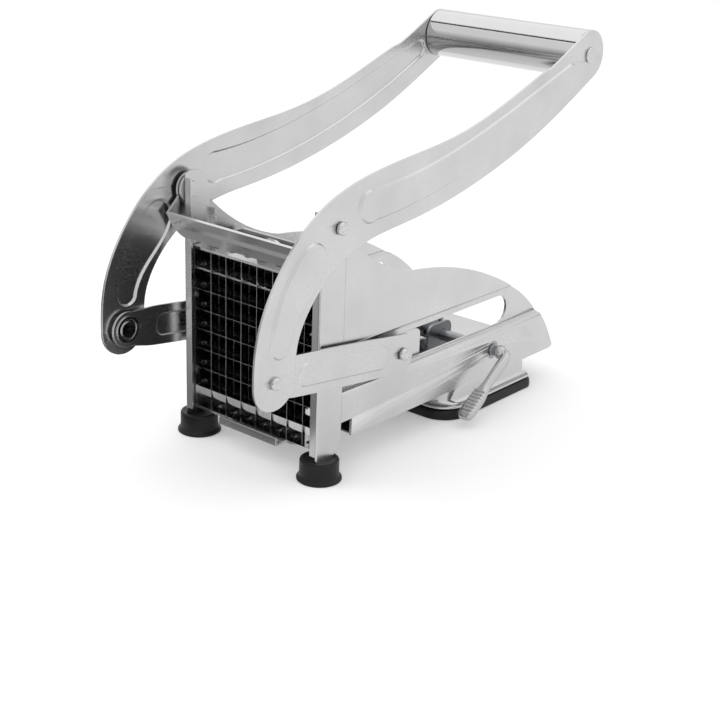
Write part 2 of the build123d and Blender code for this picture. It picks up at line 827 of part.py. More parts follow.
def pusher_block():
    """A moulded block: a base with one tapered peg for each cell of the cassette."""
    base = block(-pusher_half, pusher_half, pusher_front, pusher_rear, pusher_low, pusher_high)
    face_y = blade_front_y + pusher_front
    pegs = []
    for row in range(cells):
        z = opening_bottom + (row + 0.5) * pitch
        for column in range(cells):
            x = (column - (cells - 1) / 2) * pitch
            root_plane = Plane(origin=(x, face_y, z), x_dir=(1, 0, 0), z_dir=(0, -1, 0))
            root = root_plane * Rectangle(peg_size, peg_size)
            tip = root_plane.offset(peg_length) * Rectangle(peg_tip_size, peg_tip_size)
            pegs.append(loft([root, tip]))
    trim = block(-pusher_half - 1, pusher_half + 1, peg_front - 1, pusher_front + 1,
                 0, pusher_low)
    return base + pegs - trim - pusher_screw_shanks()


def screw_places():
    middle = (pusher_low + pusher_high) / 2
    half = screw_spacing / 2
    return [(x, middle + z) for x in (-half, half) for z in (-half, half)]


def along_y(x, z, front, rear, radius):
    """A round piece along Y between two side-view depths."""
    centre_y = blade_front_y + (front + rear) / 2
    return Pos(x, centre_y, z) * Rot(90, 0, 0) * Cylinder(radius, rear - front)


def pusher_screw_shanks():
    return Part() + [
        along_y(x, z, pusher_rear - 3.0, pusher_rear, screw_radius) for x, z in screw_places()
    ]


def pusher_screws():
    back = pusher_rear + carriage_sheet
    screws = []
    for x, z in screw_places():
        shank = along_y(x, z, pusher_rear - 3.0, back, screw_radius)
        head = along_y(x, z, back, back + screw_head_height, screw_head_radius)
        slot = Pos(x, blade_front_y + back + screw_head_height, z) * Box(
            2 * screw_head_radius + 1, 2 * screw_slot_depth, screw_slot
        )
        screws.append(shank + head - slot)
    return Part() + screws


def carriage_frame():
    """A folded plate behind the pusher, with a flange each side that runs along the side plate."""
    outer = band_inner - 0.7
    back = pusher_rear + carriage_sheet
    plate = block(-outer, outer, pusher_rear, back, pusher_low, pusher_high)
    flange_face = Pos((pusher_rear + flange_rear) / 2, (flange_bottom + flange_top) / 2) * Rectangle(
        flange_rear - pusher_rear, flange_top - flange_bottom
    )
    flange_face = fillet(flange_face.vertices().sort_by(Axis.X)[-2:], 3.0)
    flange = slab(flange_face, outer - sheet, outer)
    gusset_face = face(
        Line((back - 0.5, flange_top - 1), (back - 0.5, flange_top + 16)),
        Line((back - 0.5, flange_top + 16), (back + 18, flange_top - 1)),
        Line((back + 18, flange_top - 1), (back - 0.5, flange_top - 1)),
    )
    flange += slab(gusset_face, outer - sheet, outer)
    flange -= disc(outer - 3, outer + 1, link_pivot, rivet_radius)
    frame = plate + flange + left(flange)
    for x, z in screw_places():
        frame -= along_y(x, z, pusher_rear - 1, back + 1, screw_radius)
    return frame


def slider_block():
    """The oblong slider that runs in the side plate's slot."""
    outer = band_inner - 0.7
    oblong = Pos(*link_pivot) * SlotOverall(slider_length, slot_height - 2 * slider_fit)
    return slab(oblong, outer, band_inner + sheet + 0.3) - disc(outer - 1, link_outer,
                                                                  link_pivot, rivet_radius)


def link_rivet():
    outer = band_inner - 0.7
    shank = disc(outer - sheet, link_outer + running_gap, link_pivot, rivet_radius)
    tail = disc(outer - sheet - 1.6, outer - sheet, link_pivot, rivet_radius + 1.6)
    head = dome(link_outer + running_gap, link_pivot, rivet_head_radius, rivet_head_height)
    return shank + tail + head


nodes["pusher_block"] = pusher_block()
nodes["pusher_screws"] = pusher_screws()
nodes["carriage_frame"] = carriage_frame()
nodes["slider_blocks"] = pair(slider_block())
nodes["slider_sleeves"] = pair(
    disc(band_inner + sheet + 0.3, link_inner - running_gap, link_pivot, slot_height / 2 - 1.4,
         rivet_radius)
)
nodes["link_rivets"] = pair(link_rivet())

for name, shape in nodes.items():
    export_step(shape, f"parts/{name}.step")
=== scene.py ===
import bmesh
import bpy
from math import cos, pi, radians, sin
from mathutils import Matrix, Vector
from mathutils.geometry import tessellate_polygon
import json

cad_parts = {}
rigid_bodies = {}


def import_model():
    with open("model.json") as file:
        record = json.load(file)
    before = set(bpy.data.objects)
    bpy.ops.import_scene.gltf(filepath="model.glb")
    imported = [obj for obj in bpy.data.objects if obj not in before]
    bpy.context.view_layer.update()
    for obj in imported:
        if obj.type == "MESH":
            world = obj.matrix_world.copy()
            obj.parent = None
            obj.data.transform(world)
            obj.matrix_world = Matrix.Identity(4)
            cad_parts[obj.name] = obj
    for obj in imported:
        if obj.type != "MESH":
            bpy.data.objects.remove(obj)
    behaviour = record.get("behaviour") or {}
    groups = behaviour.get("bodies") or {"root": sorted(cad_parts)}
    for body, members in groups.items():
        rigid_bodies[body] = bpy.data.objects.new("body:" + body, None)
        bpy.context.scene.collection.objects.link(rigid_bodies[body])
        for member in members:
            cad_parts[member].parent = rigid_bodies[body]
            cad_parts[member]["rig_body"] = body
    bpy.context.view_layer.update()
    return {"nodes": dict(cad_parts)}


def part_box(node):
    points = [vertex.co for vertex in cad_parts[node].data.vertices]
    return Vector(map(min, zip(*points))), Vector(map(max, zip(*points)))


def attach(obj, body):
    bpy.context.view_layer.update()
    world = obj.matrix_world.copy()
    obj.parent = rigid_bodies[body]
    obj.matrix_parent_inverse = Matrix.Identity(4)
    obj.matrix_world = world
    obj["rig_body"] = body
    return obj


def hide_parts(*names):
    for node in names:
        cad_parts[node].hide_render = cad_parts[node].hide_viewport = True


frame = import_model()

# ------------------------------------------------------------------ camera
# The cutter stands on a table and is seen from its front right corner, from a little above
# the grip, so that the blades, one lever arm and the suction lever all show.
mm = 0.001
view_from = Vector((416.7, -555.5, 277.2)) * mm
view_yaw = radians(39.635)
view_pitch = radians(21.020)
view_roll = radians(2.086)
forward = Vector((-sin(view_yaw) * cos(view_pitch), cos(view_yaw) * cos(view_pitch),
                  -sin(view_pitch)))
level = Vector((cos(view_yaw), sin(view_yaw), 0))
upright = level.cross(forward)
camera_right = level * cos(view_roll) + upright * sin(view_roll)
camera_up = upright * cos(view_roll) - level * sin(view_roll)
camera_data = bpy.data.cameras.new("camera")
camera_data.lens = 71.92
camera_data.sensor_width = 36
camera = bpy.data.objects.new("camera", camera_data)
bpy.context.collection.objects.link(camera)
camera_turn = Matrix((camera_right, camera_up, -forward)).transposed()
camera.matrix_world = Matrix.Translation(view_from) @ camera_turn.to_4x4()
bpy.context.scene.camera = camera
bpy.context.scene.view_settings.view_transform = "Standard"


# ------------------------------------------------------------------ studio
# A white sweep with large soft lamps: one overhead, one at the left front and a weak one at
# the right rear. Grey cards, which only reflections see, shade the metal. All in metres.
def linear(hex_colour):
    """An sRGB hex colour as the linear RGBA that shaders take."""
    channels = [int(hex_colour[k:k + 2], 16) / 255 for k in (1, 3, 5)]
    return tuple(c / 12.92 if c <= 0.04045 else ((c + 0.055) / 1.055) ** 2.4
                 for c in channels) + (1,)


def add(tree, kind, *values, inputs={}, **settings):
    """Adds a node with its settings. Values go to its inputs in order, and inputs go by name.
    Each is a number, a socket, a node (for its first output), or a list to join."""
    made = tree.nodes.new(kind)
    for name, value in settings.items():
        setattr(made, name, value)
    for name, value in [*enumerate(values), *inputs.items()]:
        for one in value if isinstance(value, list) else [value]:
            if isinstance(one, bpy.types.Node):
                one = one.outputs[0]
            if isinstance(one, bpy.types.NodeSocket):
                tree.links.new(one, made.inputs[name])
            else:
                made.inputs[name].default_value = one
    return made


def new_material(name):
    """An empty node material and its tree."""
    material = bpy.data.materials.new(name)
    material.use_nodes = True
    material.node_tree.nodes.clear()
    return material, material.node_tree


def new_piece(name, mesh):
    """An object for a mesh that is already in place."""
    piece = bpy.data.objects.new(name, mesh)
    bpy.context.collection.objects.link(piece)
    return piece


def panel(name, centre, width, depth, material, facing=(0, 0, 1)):
    """A flat oblong of the studio with its face towards a direction."""
    turn = Vector(facing).to_track_quat("Z", "Y")
    corners = [(-width, -depth, 0), (width, -depth, 0), (width, depth, 0), (-width, depth, 0)]
    places = [turn @ (Vector(corner) / 2) + Vector(centre) for corner in corners]
    mesh = bpy.data.meshes.new(name)
    mesh.from_pydata(places, [], [(0, 1, 2, 3)])
    mesh.materials.append(material)
    made = new_piece(name, mesh)
    return made


def card(name, centre, width, depth, facing, shades, start=(0, 0, 0), end=(0, 0, 1)):
    """A card that only reflections see, graded from one shade to another between two places."""
    paint, tree = new_material(name + "_paint")
    run = Vector(end) - Vector(start)
    place = add(tree, "ShaderNodeTexCoord").outputs["Object"]
    here = add(tree, "ShaderNodeVectorMath", place, start, operation="SUBTRACT")
    share = add(tree, "ShaderNodeVectorMath", here, run / run.length_squared,
                operation="DOT_PRODUCT")
    first, last = (linear(shade) for shade in shades)
    shade = add(tree, "ShaderNodeMix", share.outputs["Value"], data_type="RGBA",
                clamp_factor=True, inputs={6: first, 7: last})
    glow = add(tree, "ShaderNodeEmission", inputs={"Color": shade.outputs[2]})
    add(tree, "ShaderNodeOutputMaterial", inputs={"Surface": glow})
    made = panel(name, centre, width, depth, paint, facing)
    made.visible_camera = made.visible_diffuse = made.visible_shadow = False


def soft_lamp(name, place, size, watts, mirrored=False):
    """A square lamp aimed at the middle of the cutter, seen in reflections or not."""
    data = bpy.data.lights.new(name, "AREA")
    data.size = size
    data.energy = watts
    lamp = bpy.data.objects.new(name, data)
    bpy.context.collection.objects.link(lamp)
    aim = cutter_middle - Vector(place)
    turn = aim.to_track_quat("-Z", "Y").to_matrix()
    lamp.matrix_world = Matrix.Translation(place) @ turn.to_4x4()
    lamp.visible_glossy = mirrored


def seen_white(tree):
    """1 for rays that should meet a white surround: the camera's, mirrored and clear ones."""
    path = add(tree, "ShaderNodeLightPath").outputs
    seen = add(tree, "ShaderNodeMath", path["Is Camera Ray"], path["Is Glossy Ray"],
               operation="MAXIMUM")
    return add(tree, "ShaderNodeMath", seen, path["Is Transmission Ray"], operation="MAXIMUM")


sweep_size = 9.0
sweep_lift = 0.22
sweep_paint, tree = new_material("sweep_matt_white_paint")
lift = add(tree, "ShaderNodeMath", seen_white(tree), sweep_lift, operation="MULTIPLY")
matt = add(tree, "ShaderNodeBsdfDiffuse", inputs={"Color": linear("#F6F6F6")})
glow = add(tree, "ShaderNodeEmission", inputs={"Color": linear("#FFFFFF"), "Strength": lift})
both = add(tree, "ShaderNodeAddShader", matt, glow)
add(tree, "ShaderNodeOutputMaterial", inputs={"Surface": both})
panel("floor", (0, 0, 0), sweep_size, sweep_size, sweep_paint)

cutter_middle = Vector((0, -0.02, 0.09))
soft_lamp("lamp_overhead", place=(-0.30, 0.10, 1.30), size=2.2, watts=5.0, mirrored=True)
soft_lamp("lamp_left_front", place=(-0.95, -0.85, 0.85), size=0.8, watts=3.5)
soft_lamp("lamp_right_rear", place=(1.10, 0.60, 0.90), size=1.6, watts=1.5, mirrored=True)
card("card_overhead", centre=(-0.72, -0.53, 1.08), width=1.0, depth=0.15,
     facing=(0, 0.55, -0.9), shades=("#161616", "#161616"))
card("card_table", centre=(-0.67, -0.64, 0.002), width=1.25, depth=1.40, facing=(0, 0, 1),
     shades=("#F6F6F6", "#949494"), start=(0, 0, 0), end=(-0.32, -0.47, 0))
card("card_wall", centre=(-0.40, -0.56, 0.30), width=2.0, depth=0.60, facing=(0.56, 0.83, 0),
     shades=("#868686", "#FFFFFF"), start=(0, 0, 0.02), end=(0, 0, 0.38))
card("card_near", centre=(-0.10, -0.235, 0.003), width=0.22, depth=0.19, facing=(0, 0, 1),
     shades=("#707070", "#C8C8C8"), start=(-0.03, -0.14, 0), end=(-0.16, -0.30, 0))

world = bpy.data.worlds.new("studio")
bpy.context.scene.world = world
world.use_nodes = True
tree = world.node_tree
tree.nodes.clear()
ambient = add(tree, "ShaderNodeBackground",
              inputs={"Color": linear("#F5F5F6"), "Strength": 0.84})
white = add(tree, "ShaderNodeBackground", inputs={"Color": linear("#FFFFFF"), "Strength": 1.0})
mixed = add(tree, "ShaderNodeMixShader", seen_white(tree), ambient, white)
add(tree, "ShaderNodeOutputWorld", inputs={"Surface": mixed})


# ------------------------------------------------------------------ side plates and posts
# The body's sides are 1.2 mm stainless sheet, blanked, pressed and joined to folded posts.
# Tumbling after pressing leaves an even satin face and slightly rounded, brighter edges.
def repeats(size):
    """How often a pattern of this size in millimetres repeats in a metre."""
    return 1000 / size


def metal(name, colour, roughness, grain=0.9, grain_length=3.0, grain_depth=0.0007, cloud=14.0,
          cloud_change=0.015, cloud_shade=0.97):
    """A metal with fine lengthwise grain and cloudy handling marks; sizes are in millimetres.

    The real grain is finer than a pixel, so it is drawn coarser and shallower than it is. Both
    patterns lie about 0.5, so taking off 1.5 times their change keeps the mean roughness."""
    material, tree = new_material(name)
    place = add(tree, "ShaderNodeTexCoord").outputs["Object"]
    grain_scale = (repeats(grain), repeats(grain_length), repeats(grain))
    along = add(tree, "ShaderNodeMapping", inputs={"Vector": place, "Scale": grain_scale})
    lines = add(tree, "ShaderNodeTexNoise",
                inputs={"Vector": along, "Scale": 1.0, "Detail": 3.0, "Roughness": 0.6})
    clouds = add(tree, "ShaderNodeTexNoise",
                 inputs={"Vector": place, "Scale": repeats(cloud), "Detail": 4.0,
                         "Roughness": 0.55})
    gloss = add(tree, "ShaderNodeMath", clouds.outputs["Fac"], 2 * cloud_change,
                roughness - 1.5 * cloud_change, operation="MULTIPLY_ADD")
    fine = add(tree, "ShaderNodeMath", lines.outputs["Fac"], cloud_change, gloss,
               operation="MULTIPLY_ADD")
    tint = add(tree, "ShaderNodeMapRange",
               inputs={"Value": clouds.outputs["Fac"], "From Min": 0.3, "From Max": 0.7})
    lighter = linear(colour)
    darker = tuple(c * cloud_shade for c in lighter[:3]) + (1,)
    shade = add(tree, "ShaderNodeMix", tint, data_type="RGBA", inputs={6: darker, 7: lighter})
    bump = add(tree, "ShaderNodeBump",
               inputs={"Height": lines.outputs["Fac"], "Strength": 0.35,
                       "Distance": grain_depth * mm})
    shader = add(tree, "ShaderNodeBsdfPrincipled",
                 inputs={"Metallic": 1.0, "Base Color": shade.outputs[2], "Roughness": fine,
                         "Normal": bump})
    add(tree, "ShaderNodeOutputMaterial", inputs={"Surface": shader})
    return material


def merge(shape, apart=0.002):
    """Joins the corners of a mesh that lie no further apart than this."""
    bmesh.ops.remove_doubles(shape, verts=shape.verts, dist=apart * mm)


def frame_copy(node):
    """The merged mesh of a frame node, open for shaping."""
    shape = bmesh.new()
    shape.from_mesh(frame["nodes"][node].data)
    merge(shape)
    bmesh.ops.dissolve_limit(shape, angle_limit=radians(0.6), verts=shape.verts,
                             edges=shape.edges)
    return shape


def folds(shape, low, high):
    """The edges whose faces meet at an angle between low and high degrees."""
    return [edge for edge in shape.edges
            if radians(low) < edge.calc_face_angle(0) < radians(high)]


def soften(shape, edges, radius, segments=4):
    """Gives some edges a bend radius."""
    bmesh.ops.bevel(shape, geom=edges, offset=radius * mm, offset_type="OFFSET",
                    segments=segments, profile=0.5, affect="EDGES", clamp_overlap=False)


def finished(name, shape, edge_radius=0, segments=3):
    """Ends the shaping of a piece: smooth faces, small live radii on its sharp edges."""
    mesh = bpy.data.meshes.new(name)
    for polygon in shape.faces:
        polygon.smooth = True
    shape.to_mesh(mesh)
    shape.free()
    return eased(new_piece(name, mesh), edge_radius, segments=segments)


def eased(piece, edge_radius=0, sharper_than=42, segments=3):
    """Rounds a piece's sharp edges and keeps its flats flat to the eye."""
    if edge_radius:
        bevel = piece.modifiers.new("rounded_edges", "BEVEL")
        bevel.width = edge_radius * mm
        bevel.segments = segments
        bevel.limit_method = "ANGLE"
        bevel.angle_limit = radians(sharper_than)
    piece.modifiers.new("true_flats", "WEIGHTED_NORMAL").keep_sharp = True
    return piece


def dress(piece, node, material):
    """Gives a piece its finish and its place: it stands for a node and rides on its body."""
    piece.data.materials.clear()
    piece.data.materials.append(material)
    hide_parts(node)
    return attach(piece, frame["nodes"][node]["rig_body"])


# Stainless steel, satin: neutral light grey, with a broad soft sheen and faint wide clouds.
satin_stainless = metal("stainless_steel_satin", "#CCCCCC", 0.27, cloud=27.0, cloud_shade=0.89)
sheet_edge = 0.22
joggle_radius = 0.8
for node in ("side_plate_right", "side_plate_left"):
    shape = frame_copy(node)
    soften(shape, folds(shape, low=30, high=75), joggle_radius)
    dress(finished(node + "_piece", shape, sheet_edge), node,
          satin_stainless)

# Each post's outer front corner is an upright fold with a wide radius.
post_corner = Vector((41.3, -129.3)) * mm
post_corner_radius = 1.5
for node in ("post_right", "post_left"):
    shape = frame_copy(node)
    corner_edges = [edge for edge in shape.edges
                    if all((Vector((abs(v.co.x), v.co.y)) - post_corner).length < 0.02 * mm
                           for v in edge.verts)]
    soften(shape, corner_edges, post_corner_radius, segments=6)
    dress(finished(node + "_piece", shape, sheet_edge), node,
          satin_stainless)


# ------------------------------------------------------------------ tray and front cross bar
# The tray closes the body underneath and carries the suction base. The cross bar is a folded
# strip between the posts, and the cassette stands on it. Both are the body's satin sheet.
def dress_copies(nodes, edge_radius, material):
    """Dresses copies of frame nodes whose shapes are right, with their edges rounded."""
    for node in nodes:
        dress(finished(node + "_piece", frame_copy(node), edge_radius), node, material)


tray_edge = 0.3
dress_copies(("bottom_tray", "front_cross_bar"), tray_edge, satin_stainless)


# ------------------------------------------------------------------ rubber feet
# Each foot is a moulded rubber plug pushed on to a post: dished on top, with a flared rim that
# grips the table. The rubber is black, slightly chalky on its skin and glossy on its edges.
def moulded(name, colour, roughness, shine, grit=0.9, grit_depth=0.02, mottle=9.0,
            mottle_gloss=0.06, mottle_shade=1.5):
    """A moulded rubber or plastic; sizes are in millimetres. The real skin's grit is finer than
    a pixel, so it is drawn coarser than it is."""
    material, tree = new_material(name)
    place = add(tree, "ShaderNodeTexCoord").outputs["Object"]
    fine = add(tree, "ShaderNodeTexNoise",
               inputs={"Vector": place, "Scale": repeats(grit), "Detail": 3.0,
                       "Roughness": 0.6})
    wide = add(tree, "ShaderNodeTexNoise",
               inputs={"Vector": place, "Scale": repeats(mottle), "Detail": 3.0,
                       "Roughness": 0.5})
    gloss = add(tree, "ShaderNodeMapRange",
                inputs={"Value": wide.outputs["Fac"], "From Min": 0.3, "From Max": 0.7,
                        "To Min": roughness - mottle_gloss, "To Max": roughness + mottle_gloss})
    dark = linear(colour)
    light = tuple(min(1.0, c * mottle_shade) for c in dark[:3]) + (1,)
    shade = add(tree, "ShaderNodeMix", wide.outputs["Fac"], data_type="RGBA",
                inputs={6: dark, 7: light})
    bump = add(tree, "ShaderNodeBump",
               inputs={"Height": fine.outputs["Fac"], "Strength": 0.5,
                       "Distance": grit_depth * mm})
    shader = add(tree, "ShaderNodeBsdfPrincipled",
                 inputs={"IOR": 1.5, "Specular IOR Level": shine, "Roughness": gloss,
                         "Base Color": shade.outputs[2], "Normal": bump})
    add(tree, "ShaderNodeOutputMaterial", inputs={"Surface": shader})
    return material


def turned(name, profile, centre, axis=(0, 0, 1), closed=False, segments=64):
    """A solid of revolution about an axis through the centre, from a row or a loop of points."""
    shape = bmesh.new()
    ring = [shape.verts.new(Vector(point) * mm) for point in profile]
    pairs = zip(ring, ring[1:] + (ring[:1] if closed else []))
    edges = [shape.edges.new(pair) for pair in pairs]
    bmesh.ops.spin(shape, geom=ring + edges, cent=(0, 0, 0), axis=axis, angle=2 * pi,
                   steps=segments)
    merge(shape)
    bmesh.ops.recalc_face_normals(shape, faces=shape.faces)
    bmesh.ops.translate(shape, verts=shape.verts, vec=centre)
    return finished(name, shape)


# Nitrile rubber, compression moulded: black, matt with a soft sheen. The outline runs from the
# middle of the underside round the flared rim, up the waist and in over the dished top.
black_rubber = moulded("nitrile_rubber_black", "#0C0C0C", 0.42, 0.30)
for node in ("foot_right", "foot_left"):
    low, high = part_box(node)
    rim = (high.x - low.x) / 2 / mm
    tall = (high.z - low.z) / mm
    waist = rim - 1.35
    outline = [(0, 0), (rim - 0.4, 0), (rim - 0.05, 0.25), (rim, 0.6), (rim - 0.05, 1.1),
               (rim - 0.4, 1.55), (waist + 0.35, 1.9), (waist + 0.12, 2.6), (waist, 5.0),
               (waist, tall - 0.9), (waist - 0.25, tall - 0.3), (waist - 0.8, tall),
               (waist - 1.5, tall - 0.05), (waist - 2.1, tall - 0.35),
               (waist - 3.6, tall - 0.8), (0, tall - 1.1)]
    profile = [(radius, 0, height) for radius, height in outline]
    middle = Vector(((low.x + high.x) / 2, (low.y + high.y) / 2, 0))
    dress(turned(node + "_piece", profile, middle), node, black_rubber)


# ------------------------------------------------------------------ cassette frame
# The cassette is a square frame of bright sheet, with round holes for the blades' end tabs and
# a thumb tab on top to lift it out by. Rolled bright, it is nearly a mirror.
bright_stainless = metal("stainless_steel_bright_rolled", "#C6C6C6", 0.17, cloud_change=0.006)
cassette_edge = 0.15
dress_copies(["cassette_frame"], cassette_edge, bright_stainless)


# ------------------------------------------------------------------ blades
# Seven upright and seven level strips of hardened steel, half-lapped into a grid. Each is
# ground on both faces to a thin front edge, and its end tabs sit in the frame's holes.
def new_tree(name, sizes):
    """A geometry tree with one named input for each size."""
    tree = bpy.data.node_groups.new(name, "GeometryNodeTree")
    tree.interface.new_socket("Geometry", in_out="INPUT", socket_type="NodeSocketGeometry")
    for label, value in sizes.items():
        kind = {int: "Int", float: "Float", tuple: "Vector"}[type(value)]
        tree.interface.new_socket(label, in_out="INPUT", socket_type="NodeSocket" + kind)
    tree.interface.new_socket("Geometry", in_out="OUTPUT", socket_type="NodeSocketGeometry")
    return tree, add(tree, "NodeGroupInput").outputs


def end_tree(tree, geometry, material):
    """Closes a tree: real geometry, in its material."""
    real = add(tree, "GeometryNodeRealizeInstances", geometry)
    painted = add(tree, "GeometryNodeSetMaterial", real, inputs={"Material": material})
    add(tree, "NodeGroupOutput", painted)


def raised(tree, face, steps):
    """Raises a flat face in steps of (rise, scale, axis of the scale if any), with a back."""
    back = add(tree, "GeometryNodeFlipFaces", face)
    solid, chosen = face, {}
    for rise, scale, *axis in steps:
        step = add(tree, "GeometryNodeExtrudeMesh", mode="FACES",
                   inputs={"Mesh": solid, "Offset Scale": rise, "Individual": False, **chosen})
        chosen = {"Selection": step.outputs["Top"]}
        one_way = {"Axis": axis[0]} if axis else {}
        solid = add(tree, "GeometryNodeScaleElements", domain="FACE",
                    scale_mode="SINGLE_AXIS" if axis else "UNIFORM",
                    inputs={"Geometry": step, "Scale": scale, **chosen, **one_way})
    joined = add(tree, "GeometryNodeJoinGeometry", [solid, back])
    return add(tree, "GeometryNodeMergeByDistance", joined, inputs={"Distance": 0.003 * mm})


def grown(name, tree, places, sizes):
    """What a tree makes on some places, as a plain mesh. Places and sizes are in millimetres."""
    points = bpy.data.meshes.new(name + "_places")
    points.from_pydata([Vector(place) * mm for place in places], [], [])
    host = new_piece(name, points)
    modifier = host.modifiers.new("made", "NODES")
    modifier.node_group = tree
    for item in tree.interface.items_tree:
        if item.in_out == "INPUT" and item.name in sizes:
            value = sizes[item.name]
            modifier[item.identifier] = value * mm if isinstance(value, float) else value
    shown = host.evaluated_get(bpy.context.evaluated_depsgraph_get())
    mesh = bpy.data.meshes.new_from_object(shown)
    host.modifiers.clear()
    host.data = mesh
    for polygon in mesh.polygons:
        polygon.use_smooth = True
    return host


def comb_blades(name, material, whole_in_front, sizes):
    """A set of parallel strips, each a whole half and a half cut into teeth by the other set."""
    edge_left = 0.2
    across_blade = (0, 1, 0)
    tree, size = new_tree(name, sizes)
    half_depth = add(tree, "ShaderNodeMath", size["Depth"], 0.5, operation="MULTIPLY")
    body = add(tree, "ShaderNodeMath", half_depth, size["Ground"], operation="SUBTRACT")
    tooth_length = add(tree, "ShaderNodeMath", size["Pitch"], size["Notch"],
                       operation="SUBTRACT")
    halves = []
    for length, in_front in ((size["Length"], whole_in_front),
                             (tooth_length, not whole_in_front)):
        back = add(tree, "GeometryNodeMeshGrid",
                   inputs={"Size X": length, "Size Y": size["Thickness"], "Vertices X": 2,
                           "Vertices Y": 2})
        to_edge = [(body, 1.0), (size["Ground"], edge_left, across_blade)]
        halves.append(raised(tree, back, to_edge if in_front else [(half_depth, 1.0)]))
    whole, tooth = halves

    blade_count = add(tree, "ShaderNodeMath", size["Cells"], 1.0, operation="SUBTRACT")
    teeth_span = add(tree, "ShaderNodeMath", blade_count, size["Pitch"], operation="MULTIPLY")
    first_tooth = add(tree, "ShaderNodeMath", teeth_span, -0.5, operation="MULTIPLY")
    teeth_line = add(tree, "GeometryNodeMeshLine",
                     inputs={"Count": size["Cells"],
                             "Start Location": add(tree, "ShaderNodeCombineXYZ", first_tooth),
                             "Offset": add(tree, "ShaderNodeCombineXYZ", size["Pitch"])})
    teeth = add(tree, "GeometryNodeInstanceOnPoints", teeth_line, inputs={"Instance": tooth})
    front, rear = (whole, teeth) if whole_in_front else (teeth, whole)
    forwards = add(tree, "ShaderNodeCombineXYZ", inputs={"Z": half_depth})
    moved = add(tree, "GeometryNodeTransform", front, inputs={"Translation": forwards})

    tab_span = add(tree, "ShaderNodeMath", size["Length"], size["Tab length"], operation="ADD")
    first_tab = add(tree, "ShaderNodeMath", tab_span, -0.5, operation="MULTIPLY")
    tab_place = add(tree, "ShaderNodeCombineXYZ", first_tab, 0.0, half_depth)
    tab_line = add(tree, "GeometryNodeMeshLine",
                   inputs={"Count": 2, "Start Location": tab_place,
                           "Offset": add(tree, "ShaderNodeCombineXYZ", tab_span)})
    tab_size = add(tree, "ShaderNodeCombineXYZ", size["Tab length"], size["Thickness"],
                   size["Tab width"])
    tab = add(tree, "GeometryNodeMeshCube", inputs={"Size": tab_size})
    tabs = add(tree, "GeometryNodeInstanceOnPoints", tab_line, inputs={"Instance": tab})
    blade = add(tree, "GeometryNodeJoinGeometry", [rear, moved, tabs])

    gap_count = add(tree, "ShaderNodeMath", blade_count, 1.0, operation="SUBTRACT")
    blades_span = add(tree, "ShaderNodeMath", gap_count, size["Pitch"], operation="MULTIPLY")
    first_blade = add(tree, "ShaderNodeMath", blades_span, -0.5, operation="MULTIPLY")
    first_place = add(tree, "ShaderNodeCombineXYZ", 0.0, first_blade)
    blade_line = add(tree, "GeometryNodeMeshLine",
                     inputs={"Count": blade_count, "Start Location": first_place,
                             "Offset": add(tree, "ShaderNodeCombineXYZ", 0.0, size["Pitch"])})
    blades = add(tree, "GeometryNodeInstanceOnPoints", blade_line, inputs={"Instance": blade})
    turned_set = add(tree, "GeometryNodeTransform", blades, inputs={"Rotation": size["Turn"]})
    real = add(tree, "GeometryNodeRealizeInstances", turned_set)
    placed = add(tree, "GeometryNodeInstanceOnPoints", size["Geometry"],
                 inputs={"Instance": real})
    end_tree(tree, placed, material)
    return tree


# Blade steel, ground: bright and close to a mirror, with its cutting edges to the front.
blade_steel = metal("blade_steel_ground", "#CFCFCF", 0.08, cloud_change=0.004)
cells = 8
pitch = 9.525
grid_bottom = 13.4
grid_middle = grid_bottom + cells / 2 * pitch
blade_back = -115.5
blade_edge = 0.05
blade_sizes = {"Cells": cells, "Pitch": pitch, "Length": cells * pitch, "Depth": 9.5,
               "Thickness": 0.6, "Ground": 1.3, "Notch": 0.7, "Tab length": 1.6,
               "Tab width": 2.4, "Turn": (0.0, 0.0, 0.0)}
for node, whole_in_front, turn in (("level_blades", False, (pi / 2, 0.0, 0.0)),
                                   ("upright_blades", True, (pi / 2, pi / 2, 0.0))):
    comb = comb_blades(node + "_comb", blade_steel, whole_in_front, blade_sizes)
    blades = grown(node + "_piece", comb, [(0, blade_back, grid_middle)],
                   {**blade_sizes, "Turn": turn})
    dress(eased(blades, blade_edge, sharper_than=50, segments=2), node,
          blade_steel)


# ------------------------------------------------------------------ retaining bar
# A pressed bar hangs from the main pivots by its two ears and holds the cassette down. It is
# stainless sheet, rolled bright, and pressed into a gutter over a bead.
gutter_radius, bar_edge = 0.4, 0.3
shape = frame_copy("retaining_bar")
soften(shape, folds(shape, low=20, high=75), gutter_radius)
dress(finished("retaining_bar_piece", shape, bar_edge), "retaining_bar",
      bright_stainless)


# ------------------------------------------------------------------ lever arms
# Each arm is one cranked sheet, 1.2 mm thick, with two shallow ribs pressed into it for
# stiffness: proud on the outside, and hollow inside. The finish is the body's.
def outline_length(loop):
    """The length of a closed outline."""
    return sum((Vector(p) - Vector(q)).length for p, q in zip(loop, loop[1:] + loop[:1]))


def flat_outlines(node, x):
    """The closed outlines of a node's flat face at an X position: (y, z), longest first."""
    shape = bmesh.new()
    shape.from_mesh(frame["nodes"][node].data)
    merge(shape)
    flat = {face for face in shape.faces
            if all(abs(v.co.x / mm - x) < 0.01 for v in face.verts)}
    beside = {}
    for edge in shape.edges:
        if sum(face in flat for face in edge.link_faces) == 1:
            for here, there in (edge.verts, reversed(edge.verts)):
                beside.setdefault(here, []).append(there)
    outlines = []
    while beside:
        start = here = next(iter(beside))
        loop = []
        while here in beside:
            loop.append((here.co.y / mm, here.co.z / mm))
            onwards = [v for v in beside.pop(here) if v in beside]
            here = onwards[0] if onwards else start
        outlines.append(loop)
    shape.free()
    return sorted(outlines, key=outline_length, reverse=True)


